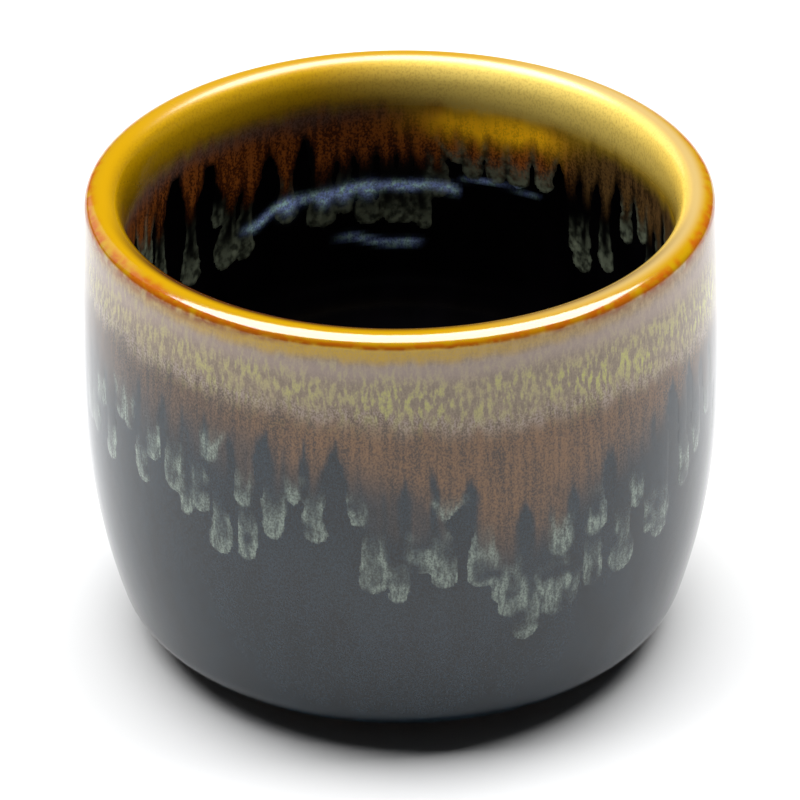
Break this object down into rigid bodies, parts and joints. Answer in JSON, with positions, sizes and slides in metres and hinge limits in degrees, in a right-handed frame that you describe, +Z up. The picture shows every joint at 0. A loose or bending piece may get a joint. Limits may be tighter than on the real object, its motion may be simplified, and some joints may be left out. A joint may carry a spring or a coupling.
{
  "type": "guinomi sake cup",
  "caption": "Small round stoneware sake cup with an amber lip over a dark glaze, and a pale running glaze that parts into drops inside and out.",
  "frame": {"origin": "on the table, at the centre of the foot ring", "axes": "+Z up along the cup's axis; -Y is the side that the picture shows nearest; +X to its right"},
  "size_m": [0.0602, 0.0602, 0.046],
  "materials": {
    "clay": "bare fired stoneware, matt",
    "dark_glaze": "glossy dark iron glaze",
    "inner_dark_glaze": "glossy black-brown iron glaze",
    "lip_glaze": "glossy amber glaze, thin and orange on the edge",
    "run_glaze": "glossy lilac-grey and brown running glaze with pale drops",
    "inner_run_glaze": "glossy rust-brown running glaze with pale drops"
  },
  "bodies": {
    "root": {"clay_body": "clay", "outer_dark_glaze": "dark_glaze", "inner_dark_glaze": "inner_dark_glaze", "lip_glaze": "lip_glaze", "outer_run_glaze": "run_glaze", "inner_run_glaze": "inner_run_glaze"}
  },
  "joints": []
}
